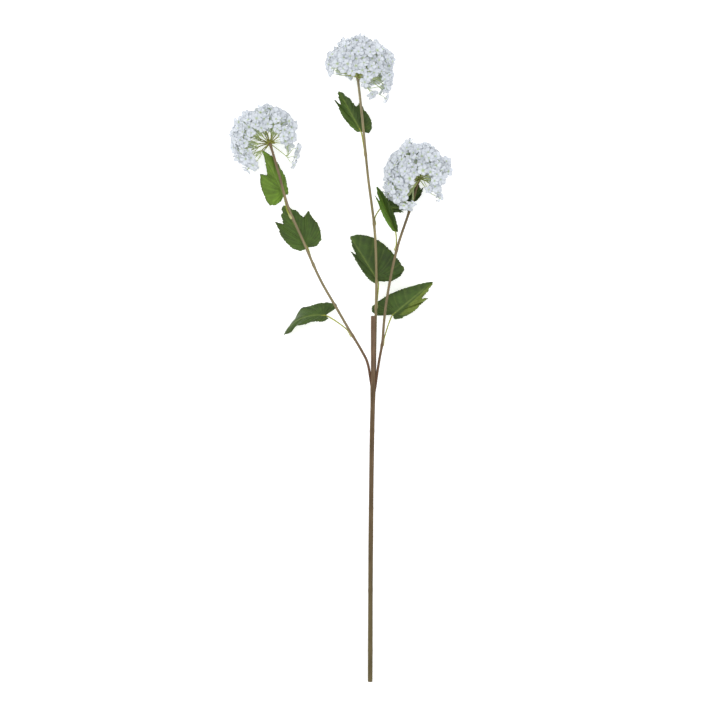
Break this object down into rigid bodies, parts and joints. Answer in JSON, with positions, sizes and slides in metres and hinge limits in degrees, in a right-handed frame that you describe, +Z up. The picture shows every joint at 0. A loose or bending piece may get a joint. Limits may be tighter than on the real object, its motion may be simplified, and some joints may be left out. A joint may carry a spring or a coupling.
{
  "type": "cut viburnum",
  "caption": "Cut snowball viburnum spray lying on its side: woody main stem, thin side stems, white dome-shaped flower heads and dark green lobed leaves on slender petioles.",
  "frame": {"origin": "middle of the underside of the whole spray as it lies, on the surface it rests on", "axes": "+Y along the main stem from its cut end to the flower heads, +Z up from the surface, +X to the right when looking down with the heads away from the viewer"},
  "size_m": [0.265, 0.7746, 0.0794],
  "materials": {
    "stem": "matt olive-brown bark with fine lengthwise grain",
    "branch": "thin smooth bark, red-brown at the fork and olive further up",
    "leaf": "satin dark green blade with paler sunken veins, yellow-green petiole, lighter olive underside",
    "floret": "thin matt cool white petals with pale green throats, yellow-green pedicels"
  },
  "bodies": {
    "root": {"main_stem": "stem", "left_branch": "branch", "centre_branch": "branch", "right_branch": "branch", "left_lower_leaf": "leaf", "left_middle_leaf": "leaf", "left_upper_leaf": "leaf", "centre_lower_leaf": "leaf", "centre_middle_leaf": "leaf", "centre_upper_leaf": "leaf", "right_lower_leaf": "leaf", "right_middle_leaf": "leaf", "right_upper_leaf": "leaf", "left_cluster_01": "floret", "left_cluster_02": "floret", "left_cluster_03": "floret", "left_cluster_04": "floret", "left_cluster_05": "floret", "left_cluster_06": "floret", "left_cluster_07": "floret", "left_cluster_08": "floret", "left_cluster_09": "floret", "left_cluster_10": "floret", "left_cluster_11": "floret", "left_cluster_12": "floret", "left_cluster_13": "floret", "left_cluster_14": "floret", "left_cluster_15": "floret", "centre_cluster_01": "floret", "centre_cluster_02": "floret", "centre_cluster_03": "floret", "centre_cluster_04": "floret", "centre_cluster_05": "floret", "centre_cluster_06": "floret", "centre_cluster_07": "floret", "centre_cluster_08": "floret", "centre_cluster_09": "floret", "centre_cluster_10": "floret", "centre_cluster_11": "floret", "centre_cluster_12": "floret", "centre_cluster_13": "floret", "centre_cluster_14": "floret", "centre_cluster_15": "floret", "right_cluster_01": "floret", "right_cluster_02": "floret", "right_cluster_03": "floret", "right_cluster_04": "floret", "right_cluster_05": "floret", "right_cluster_06": "floret", "right_cluster_07": "floret", "right_cluster_08": "floret", "right_cluster_09": "floret", "right_cluster_10": "floret", "right_cluster_11": "floret", "right_cluster_12": "floret", "right_cluster_13": "floret", "right_cluster_14": "floret", "right_cluster_15": "floret"}
  },
  "joints": []
}
